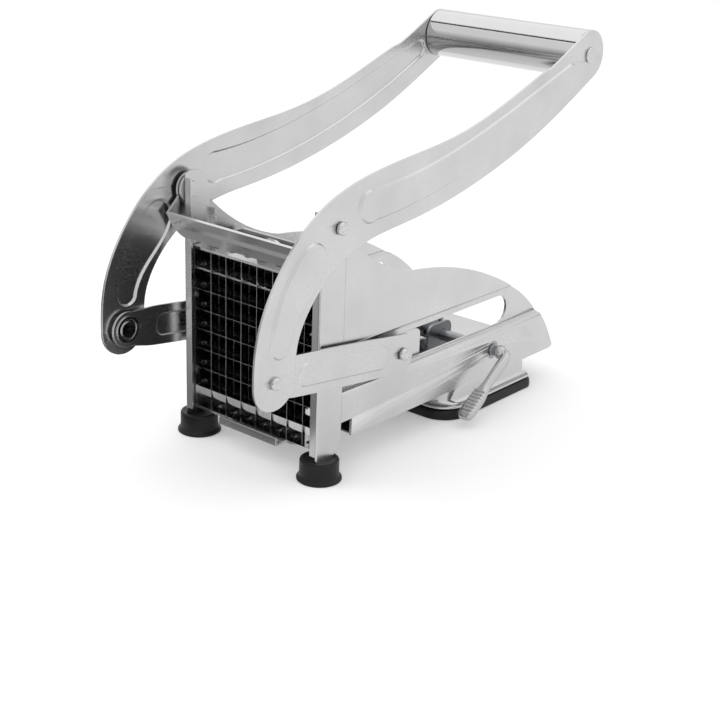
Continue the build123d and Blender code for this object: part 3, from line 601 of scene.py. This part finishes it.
def evened(loop, spacing=0.9, fewest=24):
    """The same outline as a smooth curve with evenly spaced points, anticlockwise."""
    points = [Vector(p) for p in loop]
    if sum(p.x * q.y - q.x * p.y for p, q in zip(points, points[1:] + points[:1])) < 0:
        points.reverse()
    steps = [(q - p).length for p, q in zip(points, points[1:] + points[:1])]
    count = max(fewest, round(sum(steps) / spacing))
    slopes = [(points[(k + 1) % len(points)] - points[k - 1]) / (steps[k] + steps[k - 1])
              for k in range(len(points))]
    smooth, k, before = [], 0, 0.0
    for number in range(count):
        target = sum(steps) * number / count
        while before + steps[k] < target:
            before += steps[k]
            k += 1
        t = (target - before) / steps[k]
        after = (k + 1) % len(points)
        between = (2 * t**3 - 3 * t**2 + 1) * points[k] + (3 * t**2 - 2 * t**3) * points[after]
        bend = (t**3 - 2 * t**2 + t) * slopes[k] + (t**3 - t**2) * slopes[after]
        smooth.append(between + bend * steps[k])
    return smooth


def drawn_in(loop, inset, x):
    """An evened outline moved inwards by an inset, at an X position."""
    moved = []
    for before, here, after in zip(loop[-1:] + loop[:-1], loop, loop[1:] + loop[:1]):
        along = (after - before).normalized()
        inner = here + Vector((-along.y, along.x)) * inset
        moved.append(Vector((x, inner.x, inner.y)) * mm)
    return moved


def skin(shape, rings, closed=False):
    """Skins rings of points in order, joins the last to the first or not, and returns them."""
    made = [[shape.verts.new(point) for point in ring] for ring in rings]
    for ring, following in zip(made, made[1:] + (made[:1] if closed else [])):
        for k in range(len(ring)):
            j = (k + 1) % len(ring)
            shape.faces.new((ring[k], ring[j], following[j], following[k]))
    return made


def pressed_sheet(name, node, side, near, far, press, run, edge=0.25, most_in_hole=30):
    """The right-hand node's sheet, on either side: rounded edges, round holes and ribs pressed
    outwards. The side is 1 or -1, and run is how far each rib's wall slopes."""
    outline, *inside = [evened(loop) for loop in flat_outlines(node, far)]
    rim = [(1.0, 0.0), (0.3, 0.12), (0.0, 0.55)]
    wall = [(0.0, 0.0), (0.14, 0.02), (0.32, 0.16), (0.5, 0.5), (0.68, 0.84), (0.86, 0.98),
            (1.0, 1.0)]
    shape = bmesh.new()
    rings = [drawn_in(outline, edge * back, far - edge * down) for back, down in rim]
    rings += [drawn_in(outline, edge * back, near + edge * down) for back, down in reversed(rim)]
    made = skin(shape, rings)
    far_rims, near_rims = [made[0]], [made[-1]]
    for loop in inside:
        if len(loop) <= most_in_hole:
            made = skin(shape, [drawn_in(loop, 0, far), drawn_in(loop, 0, near)])
            far_rims.append(made[0])
            near_rims.append(made[-1])
    for loop in inside:
        if len(loop) > most_in_hole:
            for face_x, rims in ((far, far_rims), (near, near_rims)):
                made = skin(shape, [drawn_in(loop, run * back, face_x + press * down)
                                    for back, down in wall])
                rims.append(made[0])
                shape.faces.new(made[-1])
    for rims in (far_rims, near_rims):
        corners = [corner for loop in rims for corner in loop]
        for triangle in tessellate_polygon([[corner.co for corner in loop] for loop in rims]):
            shape.faces.new([corners[k] for k in triangle])
    for corner in shape.verts:
        corner.co.x *= side
    bmesh.ops.recalc_face_normals(shape, faces=shape.faces)
    return finished(name, shape)


for node, side in (("lever_arm_right", 1), ("lever_arm_left", -1)):
    arm = pressed_sheet(node + "_piece", "lever_arm_right", side, near=45.5, far=46.7,
                        press=1.05, run=1.4)
    dress(arm, node, satin_stainless)


# ------------------------------------------------------------------ links
# A flat stainless link on each side joins the arm's lower end to the carriage. One long panel
# is pressed into it, and the joint at its front end is closed by a flanged eyelet.
for node, side in (("link_right", 1), ("link_left", -1)):
    link = pressed_sheet(node + "_piece", "link_right", side, near=42.9, far=44.1,
                         press=0.8, run=1.2, edge=0.22)
    dress(link, node, satin_stainless)


# ------------------------------------------------------------------ rivets, spacers and collars
# The joints are shouldered rivets of polished stainless steel, each closed with a round head
# that has a shallow ring in it. Turned spacers and collars keep the sheets apart.
def round_head(tree, profile):
    """A head of radius 1 and height 1, from (radius, height) points."""
    radius, height = profile[0]
    disc = add(tree, "GeometryNodeMeshCircle", fill_type="NGON",
               inputs={"Vertices": 40, "Radius": radius})
    steps = []
    for next_radius, next_height in profile[1:]:
        steps.append((float(next_height - height), next_radius / radius))
        radius, height = next_radius, next_height
    return raised(tree, disc, steps)


def fastener_sizes(head, shank, tail, facing):
    """A fastener's sizes by the names of its tree's inputs, from pairs of (radius, length)."""
    return {"Head radius": head[0], "Head height": head[1], "Shank radius": shank[0],
            "Shank length": shank[1], "Tail radius": tail[0], "Tail height": tail[1],
            "Facing": facing}


def fasteners(name, material, profile, slotted=False):
    """Rivets or screws on places, heads outwards: the facing turns over on the left side."""
    one = (1.0, 1.0)
    tree, size = new_tree(name, fastener_sizes(one, one, one, across))
    head = round_head(tree, profile)
    if slotted:
        slot_size, slot_height = (3.0, 0.28, 0.8), 1.05
        slot = add(tree, "GeometryNodeMeshCube", inputs={"Size": slot_size})
        cut = add(tree, "GeometryNodeTransform", slot,
                  inputs={"Translation": (0.0, 0.0, slot_height)})
        head = add(tree, "GeometryNodeMeshBoolean", operation="DIFFERENCE",
                   inputs={"Mesh 1": head, "Mesh 2": cut})
    head_scale = add(tree, "ShaderNodeCombineXYZ", size["Head radius"], size["Head radius"],
                     size["Head height"])
    sized = add(tree, "GeometryNodeTransform", head, inputs={"Scale": head_scale})
    into_tail = add(tree, "ShaderNodeMath", size["Tail height"], -0.5, size["Shank length"],
                    operation="MULTIPLY_ADD")
    shank = add(tree, "GeometryNodeMeshCylinder",
                inputs={"Vertices": 40, "Radius": size["Shank radius"], "Depth": into_tail})
    shank_z = add(tree, "ShaderNodeMath", into_tail, -0.5, operation="MULTIPLY")
    shank_place = add(tree, "ShaderNodeCombineXYZ", inputs={"Z": shank_z})
    under = add(tree, "GeometryNodeTransform", shank, inputs={"Translation": shank_place})
    tail = add(tree, "GeometryNodeMeshCylinder",
               inputs={"Vertices": 40, "Radius": size["Tail radius"],
                       "Depth": size["Tail height"]})
    half_tail = add(tree, "ShaderNodeMath", size["Tail height"], 0.5, operation="MULTIPLY")
    tail_z = add(tree, "ShaderNodeMath", half_tail, size["Shank length"], operation="SUBTRACT")
    tail_place = add(tree, "ShaderNodeCombineXYZ", inputs={"Z": tail_z})
    end = add(tree, "GeometryNodeTransform", tail, inputs={"Translation": tail_place})
    whole = add(tree, "GeometryNodeJoinGeometry", [sized, under, end])
    here = add(tree, "ShaderNodeSeparateXYZ", add(tree, "GeometryNodeInputPosition"))
    side = add(tree, "ShaderNodeMath", here.outputs["X"], operation="SIGN")
    mirrored = add(tree, "ShaderNodeCombineXYZ", side, 1.0, 1.0)
    outwards = add(tree, "ShaderNodeVectorMath", size["Facing"], mirrored,
                   operation="MULTIPLY")
    turn = add(tree, "FunctionNodeAlignRotationToVector", axis="Z", inputs={"Vector": outwards})
    placed = add(tree, "GeometryNodeInstanceOnPoints", size["Geometry"],
                 inputs={"Instance": whole, "Rotation": turn})
    end_tree(tree, placed, material)
    return tree


# Stainless steel, polished: mirror bright with fine marks.
polished_stainless = metal("stainless_steel_polished", "#C9C9C9", 0.11, cloud_change=0.008)
head_profile = [(0.97, 0.0), (1.0, 0.12), (1.0, 0.45), (0.93, 0.72), (0.80, 0.92), (0.66, 1.0),
                (0.56, 0.96), (0.50, 0.86), (0.44, 0.82), (0.20, 0.86)]
across = (1.0, 0.0, 0.0)
rivet_tree = fasteners("ringed_rivet", polished_stainless, head_profile)
rivet_head = (2.9, 2.0)
rivet_edge = 0.2
# Each is its right-hand place, then (radius, length) of its shank and of its inner head.
rivets = {
    "pivot_pins": ((47.0, -124.1, 116.2), (2.2, 7.7), (3.6, 0.8)),
    "arm_rivets": ((46.7, -162.0, 58.5), (1.9, 1.4), (1.8, 0.1)),
    "link_rivets": ((44.4, -75.5, 47.6), (1.9, 10.2), (3.5, 1.6)),
}
for node, ((x, y, z), shank, tail) in rivets.items():
    sizes = fastener_sizes(rivet_head, shank, tail, across)
    rivet = grown(node + "_piece", rivet_tree, [(x, y, z), (-x, y, z)], sizes)
    dress(eased(rivet, rivet_edge, sharper_than=60, segments=2), node,
          polished_stainless)
    if node == "pivot_pins":
        # The pivots' inner heads lie flat on the posts and keep the satin finish of the sheet.
        inner_head = 40.2 * mm
        rivet.data.materials.append(satin_stainless)
        for polygon in rivet.data.polygons:
            if abs(polygon.center.x) < inner_head:
                polygon.material_index = 1

turned_edge, eyelet_edge = 0.25, 0.09
for nodes, edge in ((("pivot_spacers", "arm_collars"), turned_edge),
                    (("link_eyelet_right", "link_eyelet_left"), eyelet_edge),
                    (("grip_tie_rod", "slider_sleeves"), turned_edge)):
    dress_copies(nodes, edge, polished_stainless)


# ------------------------------------------------------------------ grip
# The grip is a polished stainless tube over a tie rod. It stops a hair short of the arms, and
# each end is closed by a black nylon plug, which shows as a thin dark line.
grip_middle = Vector((0, 58.5, 168.2))
end, outer, inner = 45.25, 12.0, 10.8
tube_profile = [(inner, -end), (outer - 0.35, -end), (outer - 0.1, -end + 0.1),
                (outer, -end + 0.35), (outer, end - 0.35), (outer - 0.1, end - 0.1),
                (outer - 0.35, end), (inner, end)]
tube = turned("grip_tube_piece", [(along, 0, radius) for radius, along in tube_profile],
              grip_middle * mm, axis=across, closed=True, segments=96)
dress(tube, "grip_tube", polished_stainless)
# Nylon, injection moulded: black, semi-matt.
black_nylon = moulded("nylon_black", "#080808", 0.34, 0.22, grit=0.6, grit_depth=0.012)
plug_edge = 0.2
dress_copies(["grip_plugs"], plug_edge, black_nylon)


# ------------------------------------------------------------------ carriage
# The carriage is a folded stainless plate with a flange each side. Nylon sliders on its flanges
# run in the side plates' slots.
slider_edge = 0.3
dress_copies(["carriage_frame"], sheet_edge, satin_stainless)
dress_copies(["slider_blocks"], slider_edge, black_nylon)


# ------------------------------------------------------------------ pusher
# A moulded nylon block with one tapered peg for each cell of the cassette. The lowest pegs are
# cut level with its foot. Four slotted screws hold it to the carriage from behind.
peg_sizes = {"Cells": cells, "Pitch": pitch, "Root": 7.6, "Rise": 11.5, "Chamfer": 0.5,
             "Foot": 18.0}
peg_taper, chamfer_taper = 0.872, 0.86
block_front, block_edge = -100.5, 0.3
tree, size = new_tree("pusher_pegs", peg_sizes)
root = add(tree, "GeometryNodeMeshGrid",
           inputs={"Size X": size["Root"], "Size Y": size["Root"], "Vertices X": 2,
                   "Vertices Y": 2})
peg = raised(tree, root, [(size["Rise"], peg_taper), (size["Chamfer"], chamfer_taper)])
gap_count = add(tree, "ShaderNodeMath", size["Cells"], 1.0, operation="SUBTRACT")
span = add(tree, "ShaderNodeMath", gap_count, size["Pitch"], operation="MULTIPLY")
field = add(tree, "GeometryNodeMeshGrid",
            inputs={"Size X": span, "Size Y": span, "Vertices X": size["Cells"],
                    "Vertices Y": size["Cells"]})
pegs = add(tree, "GeometryNodeInstanceOnPoints", field, inputs={"Instance": peg})
faced = add(tree, "GeometryNodeTransform", pegs, inputs={"Rotation": (pi / 2, 0.0, 0.0)})
placed = add(tree, "GeometryNodeInstanceOnPoints", size["Geometry"], inputs={"Instance": faced})
real = add(tree, "GeometryNodeRealizeInstances", placed)
place = add(tree, "ShaderNodeSeparateXYZ", add(tree, "GeometryNodeInputPosition")).outputs
not_below = add(tree, "ShaderNodeMath", place["Z"], size["Foot"], operation="MAXIMUM")
level_foot = add(tree, "ShaderNodeCombineXYZ", place["X"], place["Y"], not_below)
cut = add(tree, "GeometryNodeSetPosition", real, inputs={"Position": level_foot})
end_tree(tree, cut, black_nylon)
pegs = grown("pegs", tree, [(0, block_front, grid_middle)], peg_sizes)

low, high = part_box("pusher_block")
shape = bmesh.new()
shape.from_mesh(pegs.data)
bpy.data.objects.remove(pegs)
for corner in bmesh.ops.create_cube(shape, size=1.0)["verts"]:
    corner.co = Vector((low.x if corner.co.x < 0 else high.x,
                        block_front * mm if corner.co.y < 0 else high.y,
                        low.z if corner.co.z < 0 else high.z))
dress(finished("pusher_block_piece", shape, block_edge, segments=2), "pusher_block",
      black_nylon)

screw_profile = [(0.93, 0.0), (1.0, 0.1), (1.0, 0.5), (0.94, 0.78), (0.8, 0.95), (0.6, 1.0)]
screw_tree = fasteners("slotted_screw", polished_stainless, screw_profile, slotted=True)
screw_head = 3.6
plate_back = -95.0
low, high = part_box("pusher_screws")
screw_x = high.x / mm - screw_head
screw_places = [(x, plate_back, z) for x in (-screw_x, screw_x)
                for z in (low.z / mm + screw_head, high.z / mm - screw_head)]
sizes = fastener_sizes((screw_head, 2.0), (2.0, 4.5), (1.9, 0.5), facing=(0.0, 1.0, 0.0))
dress(eased(grown("pusher_screws_piece", screw_tree, screw_places, sizes)), "pusher_screws",
      polished_stainless)


# ------------------------------------------------------------------ suction pad
# A moulded rubber pad with a thin middle that the stem lifts to make the vacuum. Its front
# corners are broad curves, and its rim is rounded by the mould.
def plan_ring(inset, height, steps=10):
    """Points round the base's plan, drawn in by an inset: a rectangle with rounded corners."""
    x, y = base_half - inset, base_length / 2 - inset
    corners = [(x, -y, front_corner, -90), (x, y, rear_corner, 0), (-x, y, rear_corner, 90),
               (-x, -y, front_corner, 180)]
    points = []
    for corner_x, corner_y, radius, start in corners:
        r = max(0.4, radius - inset)
        centre = Vector((corner_x - r * (1 if corner_x > 0 else -1),
                         corner_y - r * (1 if corner_y > 0 else -1), 0))
        for step in range(steps + 1):
            angle = radians(start + 90 * step / steps)
            points.append((centre + Vector((r * cos(angle), r * sin(angle), height))) * mm)
    ring = []
    for k, point in enumerate(points):
        ring.append(point)
        if k % (steps + 1) == steps:
            following = points[(k + 1) % len(points)]
            ring += [point.lerp(following, part / steps) for part in range(1, steps)]
    return ring


def circle_ring(like, radius, height):
    """A circle with a point beside each point of another ring."""
    return [Vector((p.x, p.y, 0)).normalized() * radius * mm + Vector((0, 0, height * mm))
            for p in like]


base_half, base_length = 43.5, 74.5
front_corner, rear_corner = 14.0, 6.0
pad_top, pad_middle, cup_radius = 5.0, 2.0, 24.0
pad_edge = [(1.0, 0.0), (0.35, 0.15), (0.0, 0.7), (0.0, 1.6), (0.15, 3.4), (0.4, 4.3),
            (0.9, 4.8), (1.6, pad_top)]
rings = [plan_ring(inset, height) for inset, height in pad_edge]
rings += [circle_ring(rings[0], cup_radius, height) for height in (pad_top, pad_middle)]
shape = bmesh.new()
made = skin(shape, rings)
shape.faces.new(list(reversed(made[0])))
shape.faces.new(made[-1])
bmesh.ops.recalc_face_normals(shape, faces=shape.faces)
dress(finished("suction_pad_piece", shape), "suction_pad", black_rubber)


# ------------------------------------------------------------------ suction housing
# A cover drawn from bright stainless sheet, with a rolled flange that clamps the pad's rim and
# a flat top that is fixed under the tray. The stem comes up through its middle.
stem_hole = 3.3
top_outside, top_inside = 16.2, 15.0
outer_edge = [(8.0, top_outside), (6.3, 16.1), (5.3, 15.7), (4.7, 14.9), (4.5, 13.8),
              (4.4, 9.0), (4.0, 7.6), (3.2, 6.9), (2.4, 6.7), (1.6, 6.75), (1.1, 6.6),
              (0.9, 6.2), (0.95, 5.7), (1.3, 5.35), (1.9, 5.3)]
inner_edge = [(4.0, 5.4), (5.2, 6.1), (5.6, 9.0), (5.7, 13.6), (6.0, 14.6), (8.0, top_inside)]
rings = [plan_ring(inset, height) for inset, height in outer_edge + inner_edge]
rings = [circle_ring(rings[0], stem_hole, top_outside), *rings,
         circle_ring(rings[0], stem_hole, top_inside)]
shape = bmesh.new()
skin(shape, rings, closed=True)
bmesh.ops.recalc_face_normals(shape, faces=shape.faces)
dress(finished("suction_housing_piece", shape), "suction_housing",
      bright_stainless)


# ------------------------------------------------------------------ shaft, cam and bracket
# A bracket riveted to the tray carries the cam shaft. The cam turns in the stem's window, and a
# spring clip keeps the shaft in. All of it is mild steel, zinc plated: grey and a little cloudy.
dark_zinc = metal("mild_steel_zinc_plated", "#9C9DA0", 0.26, cloud=6.0)
zinc_edge = 0.25
dress_copies(("shaft_bracket", "shaft_bush", "cam_shaft", "lift_cam", "shaft_clip", "cup_stem"),
             zinc_edge, dark_zinc)
dome_profile = [(1.0, 0.0), (1.0, 0.3), (0.92, 0.62), (0.76, 0.86), (0.5, 0.97), (0.2, 1.0)]
dome_tree = fasteners("domed_rivet", dark_zinc, dome_profile)
dome_radius, dome_x = 1.6, 6.0
low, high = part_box("bracket_rivets")
dome_places = [(x, y, low.z / mm) for x in (-dome_x, dome_x)
               for y in (low.y / mm + dome_radius, high.y / mm - dome_radius)]
sizes = fastener_sizes((dome_radius, 1.0), (0.9, 1.2), (0.8, 0.5), facing=(0.0, 0.0, 1.0))
dress(eased(grown("bracket_rivets_piece", dome_tree, dome_places, sizes)), "bracket_rivets",
      dark_zinc)


# ------------------------------------------------------------------ suction lever
# A polished zinc casting: a ball hub on the shaft, a bent rod and a flat finger grip with ribs
# across its upper face. The ribs are rounded and a little uneven in the light.
cast_zinc = metal("zinc_casting_polished", "#B8B8B8", 0.14, grain=0.8, grain_length=0.8,
                  grain_depth=0.01, cloud=5.0)
run = Vector((0, -0.832, -0.555)).normalized()
sideways = Vector((1, 0, 0))
thick = sideways.cross(run)
hub, hub_radius = Vector((46.2, 0, 28.8)), 3.5
turn_radius = 2.8
turn_start = Vector((50.7 - turn_radius, 0, 28.3))
# The rod's sections are (centre, turn in degrees, half width, half depth).
sections = [(hub + sideways * -0.5, 0, 2.2, 2.2),
            (hub + sideways * 1.2 + Vector((0, 0, -0.4)), 0, 2.4, 2.4)]
for degrees in (0, 22.5, 45, 67.5, 90):
    angle = radians(degrees)
    centre = turn_start + sideways * turn_radius * sin(angle) + run * turn_radius * (1 - cos(angle))
    sections.append((centre, degrees, 2.7, 2.6))
rod_start = sections[-1][0]
for along, wide, deep in ((5, 2.8, 2.6), (10, 2.65, 2.5), (14, 2.45, 2.3), (17, 2.45, 2.15),
                          (19.5, 2.8, 2.1), (22.5, 3.4, 2.2), (26, 4.1, 2.2), (30, 4.3, 2.2),
                          (34.5, 4.3, 2.15), (37.0, 4.0, 2.0), (38.4, 3.2, 1.6),
                          (39.0, 1.9, 0.9)):
    sections.append((rod_start + run * along, 90, wide, deep))
points_round = 20
rings = []
for centre, degrees, wide, deep in sections:
    angle = radians(degrees)
    flat = sideways * sin(angle) - run * cos(angle)
    roundness = 0.62 if wide > 3.0 else 1.0
    ring = []
    for step in range(points_round):
        around = 2 * pi * step / points_round
        c, s = cos(around), sin(around)
        x = wide * abs(c) ** roundness * (1 if c > 0 else -1)
        y = deep * abs(s) ** roundness * (1 if s > 0 else -1)
        ring.append((centre + flat * x + thick * y) * mm)
    rings.append(ring)
shape = bmesh.new()
made = skin(shape, rings)
shape.faces.new(list(reversed(made[0])))
shape.faces.new(made[-1])
bmesh.ops.create_uvsphere(shape, u_segments=40, v_segments=24, radius=hub_radius * mm,
                          matrix=Matrix.Translation(hub * mm))
bmesh.ops.recalc_face_normals(shape, faces=shape.faces)

rib_sizes = {"Ribs": 8, "Spacing": 2.0, "Half width": 3.5, "Half length": 0.75, "Height": 0.6,
             "Run": tuple(run)}
tree, size = new_tree("finger_ribs", rib_sizes)
ball = add(tree, "GeometryNodeMeshUVSphere", inputs={"Segments": 24, "Rings": 12, "Radius": 1.0})
rib_scale = add(tree, "ShaderNodeCombineXYZ", size["Half width"], size["Half length"],
                size["Height"])
rib = add(tree, "GeometryNodeTransform", ball, inputs={"Scale": rib_scale})
step = add(tree, "ShaderNodeVectorMath", operation="SCALE",
           inputs={"Vector": size["Run"], "Scale": size["Spacing"]})
row = add(tree, "GeometryNodeMeshLine", inputs={"Count": size["Ribs"], "Offset": step})
lean = add(tree, "FunctionNodeAlignRotationToVector", axis="Y", pivot_axis="X",
           inputs={"Vector": size["Run"]})
ribs = add(tree, "GeometryNodeInstanceOnPoints", row,
           inputs={"Instance": rib, "Rotation": lean})
placed = add(tree, "GeometryNodeInstanceOnPoints", size["Geometry"], inputs={"Instance": ribs})
end_tree(tree, placed, cast_zinc)
ribs_start, ribs_above = 22.5, 2.1
first_rib = rod_start + run * ribs_start - thick * ribs_above
ribs = grown("ribs", tree, [first_rib], rib_sizes)
shape.from_mesh(ribs.data)
bpy.data.objects.remove(ribs)
dress(finished("suction_lever_piece", shape), "suction_lever", cast_zinc)
